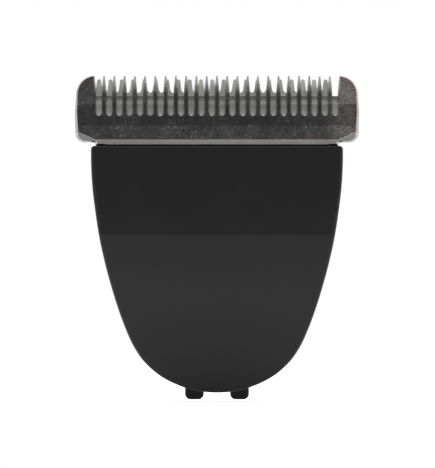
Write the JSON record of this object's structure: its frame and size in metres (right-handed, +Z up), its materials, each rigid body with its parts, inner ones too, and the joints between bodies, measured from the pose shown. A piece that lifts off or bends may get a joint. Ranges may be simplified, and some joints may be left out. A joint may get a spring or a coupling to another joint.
{
  "type": "pet clipper cutting head",
  "caption": "Detachable cutting head of a pet trimmer: toothed steel comb over a sprung, side-to-side cutter with a yoke behind, in a U-shaped plastic cover with hinge lugs.",
  "frame": {"origin": "where the axis of the clipper's drive pin crosses the plane of the head's rear seat face", "axes": "+X across the blade, +Y out of the rear towards the clipper, +Z up towards the tooth tips; the skin side faces -Y"},
  "size_m": [0.037, 0.013, 0.0422],
  "materials": {
    "cover_plastic": "satin, very fine grain",
    "carrier_plastic": "satin moulded",
    "comb_steel": "polished, finely ground",
    "cutter_steel": "ground, grey",
    "plate_steel": "cold rolled",
    "screw_steel": "nickel plated",
    "spring_steel": "bright drawn wire",
    "yoke_plastic": "natural acetal",
    "bridge_plastic": "black acetal",
    "catch_plastic": "dark grey acetal"
  },
  "bodies": {
    "housing": {"front_cover": "cover_plastic", "blade_carrier": "carrier_plastic", "comb_blade": "comb_steel", "comb_screws": "screw_steel", "locating_pins": "screw_steel", "spring_plate": "plate_steel", "spring_plate_screws": "screw_steel", "cover_screws": "screw_steel", "catch_spring": "spring_steel", "catch_plate": "plate_steel", "catch_plate_screws": "screw_steel", "pressure_spring_left": "spring_steel", "pressure_spring_right": "spring_steel"},
    "bridge": {"pressure_bridge": "bridge_plastic"},
    "cutter": {"cutter_blade": "cutter_steel", "cutter_driver": "yoke_plastic", "driver_rivets": "screw_steel"},
    "catch": {"snap_catch": "catch_plastic"}
  },
  "joints": [
    {"name": "bridge_lift", "type": "slide", "parent": "housing", "child": "bridge", "axis": [0, 1, 0], "range_m": [0, 0.0008], "stiffness_N_per_m": 8200, "springref_m": -0.0006, "deforming": ["pressure_spring_left", "pressure_spring_right"]},
    {"name": "cutter_stroke", "type": "slide", "parent": "bridge", "child": "cutter", "axis": [1, 0, 0], "range_m": [-0.00065, 0.00185]},
    {"name": "catch_slide", "type": "slide", "parent": "housing", "child": "catch", "axis": [0, 0, 1], "range_m": [0, 0.0008], "stiffness_N_per_m": 1500, "springref_m": -0.0004, "deforming": ["catch_spring"]}
  ]
}
